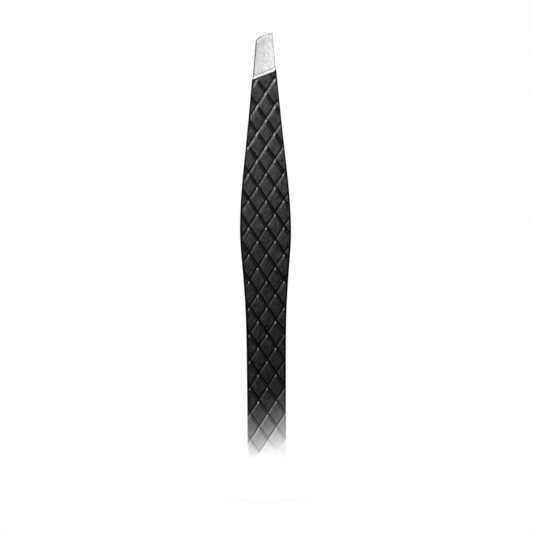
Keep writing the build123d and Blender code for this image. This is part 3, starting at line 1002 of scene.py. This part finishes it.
def floor_piece():
    """A pale round floor, white to the camera with a faint contact shade, and quiet in reflections."""
    mesh = bpy.data.meshes.new("floor")
    bm = bmesh.new()
    bmesh.ops.create_circle(bm, cap_ends=True, radius=0.6, segments=128)
    bm.to_mesh(mesh)
    bm.free()
    obj = bpy.data.objects.new("floor", mesh)
    scene.collection.objects.link(obj)
    m, n = material("floor_pale")
    ao = n.add("ShaderNodeAmbientOcclusion", samples=6, inputs={"Distance": 0.012})
    shade = n.span(ao.outputs["AO"], 0.35, 1.0, 0.93, 1.0, "SMOOTHSTEP")
    path = n.add("ShaderNodeLightPath")
    white = n.add("ShaderNodeEmission", inputs={"Color": rgb(1.0), "Strength": n.math("MULTIPLY", shade, 1.0)})
    # in reflections it is quiet, brighter by the heel and at the four quarters
    place = n.add("ShaderNodeTexCoord").outputs["Object"]
    away = n.vmath("LENGTH", place)
    aside = n.math("ABSOLUTE", n.math("DIVIDE", n.add("ShaderNodeSeparateXYZ", inputs={0: place}).outputs[0], away))
    quarter = n.math("MULTIPLY", n.span(aside, 0.50, 0.64, 0.0, 1.0, "SMOOTHSTEP"), n.span(away, 0.05, 0.11, 0.0, 0.42, "SMOOTHSTEP"))
    level = n.math("ADD", n.span(away, 0.014, 0.040, 0.75, 0.04), quarter)
    quiet = n.add("ShaderNodeEmission", inputs={"Color": rgb(1.0), "Strength": level})
    mix = n.add("ShaderNodeMixShader", inputs={0: path.outputs["Is Camera Ray"]})
    n.tree.links.new(quiet.outputs[0], mix.inputs[1])
    n.tree.links.new(white.outputs[0], mix.inputs[2])
    out = n.add("ShaderNodeOutputMaterial")
    n.tree.links.new(mix.outputs[0], out.inputs[0])
    mesh.materials.append(m)
    return obj


floor_piece()


def softbox(name, at, target, width, height, radiance, camera=False):
    data = bpy.data.lights.new(name, "AREA")
    data.shape = "RECTANGLE"
    data.size, data.size_y = width * MM, height * MM
    # watts for a one-sided Lambertian panel of this radiance
    data.energy = radiance * math.pi * data.size * data.size_y
    obj = bpy.data.objects.new(name, data)
    scene.collection.objects.link(obj)
    at, target = Vector(at) * MM, Vector(target) * MM
    obj.location = at
    obj.rotation_euler = (target - at).to_track_quat("-Z", "Y").to_euler()
    obj.visible_camera = camera
    return obj


def panel(name, turn, x, z, y, radiance):
    """A softbox in a plane y = constant facing the object, given in the front's terms and turned half round for the back."""
    x0, x1 = x
    z0, z1 = z
    at = ((x0 + x1) / 2 * turn, -y * turn, (z0 + z1) / 2)
    target = (at[0], 0.0, at[2])
    return softbox(f"{name}_{'front' if turn > 0 else 'back'}", at, target, x1 - x0, z1 - z0, radiance)


for turn in (1, -1):
    panel("fill", turn, (-60, 16), (38, 170), 100, 1.05)
    panel("fill_low", turn, (-60, 30), (1, 42), 100, 0.235)
    panel("key", turn, (-66, -27), (74, 176), 100, 4.6)
    panel("key_far", turn, (-126, -66), (70, 150), 100, 1.1)
    softbox(f"top_{turn}", (-30 * turn, -95 * turn, 235), (0, 0, 86), 130, 90, 2.4)
    # side panels for the bare steel's long edges
    softbox(f"side_{turn}", (-130 * turn, 0, 96), (0, 0, 96), 120, 30, 0.55)
    # narrow lamps from both sides for the plain heel
    for x in (-1, 1):
        lamp = bpy.data.lights.new(f"heel_{turn}_{x}", "SPOT")
        lamp.energy = 4.0 if x < 0 else 5.0
        lamp.spot_size, lamp.spot_blend = math.radians(6.0 if x < 0 else 4.2), 0.8
        lamp.shadow_soft_size = 0.012
        at = Vector(((-215 if x < 0 else 270) * turn, (-215 if x < 0 else -120) * turn, 6)) * MM
        target = Vector((0, 0, -1)) * MM
        obj = bpy.data.objects.new(lamp.name, lamp)
        scene.collection.objects.link(obj)
        obj.location = at
        obj.rotation_euler = (target - at).to_track_quat("-Z", "Y").to_euler()
        obj.visible_camera = False


def world():
    w = bpy.data.worlds.new("studio")
    scene.world = w
    w.use_nodes = True
    n = Nodes(w.node_tree)
    direction = n.add("ShaderNodeTexCoord").outputs["Generated"]
    xyz = n.add("ShaderNodeSeparateXYZ", inputs={0: direction})
    x, y, z = xyz.outputs
    sides = n.span(n.math("ABSOLUTE", x), 0.72, 0.98, 0.0, 0.18, "SMOOTHSTEP")
    above = n.span(z, 0.55, 0.95, 0.0, 0.85, "SMOOTHSTEP")
    below = n.span(z, -0.6, -0.1, 0.25, 1.0, "SMOOTHSTEP")
    level = n.math("MULTIPLY", n.math("ADD", 0.05, n.math("ADD", sides, above)), below)
    # a soft glow low at the four quarters, for the steel's inner faces
    quarter = n.math("MULTIPLY", n.span(n.math("ABSOLUTE", x), 0.50, 0.64, 0.0, 0.42, "SMOOTHSTEP"), n.span(z, 0.02, 0.34, 1.0, 0.0, "SMOOTHSTEP"))
    level = n.math("MAXIMUM", level, quarter)
    path = n.add("ShaderNodeLightPath")
    strength = n.math("MAXIMUM", level, path.outputs["Is Camera Ray"])
    bg = n.add("ShaderNodeBackground", inputs={"Color": rgb(1.0), "Strength": strength})
    out = n.add("ShaderNodeOutputWorld")
    n.tree.links.new(bg.outputs[0], out.inputs[0])


world()

# camera: straight on to the front arm, long lens, leaning a little as the object leans in the view
PX = 0.2019                       # mm a pixel at the front face, in a 533 pixel frame
camera = bpy.data.cameras.new("camera")
camera.lens, camera.sensor_width = 200.0, 36.0
cam = bpy.data.objects.new("camera", camera)
scene.collection.objects.link(cam)
distance = 533 * PX / 36.0 * 200.0
cam.location = Vector((0.15, -5.0 - distance, (502 - 266.5) * PX)) * MM
cam.rotation_euler = (math.radians(90), 0, 0)
roll = math.radians(0.35)
cam.rotation_euler = (Matrix.Rotation(math.radians(90), 3, "X") @ Matrix.Rotation(-roll, 3, "Z")).to_euler()
camera.clip_start, camera.clip_end = 0.01, 10.0
scene.camera = cam
scene.view_settings.view_transform = "Standard"
scene.view_settings.look = "None"
scene.view_settings.exposure = 0.0
scene.view_settings.gamma = 1.0
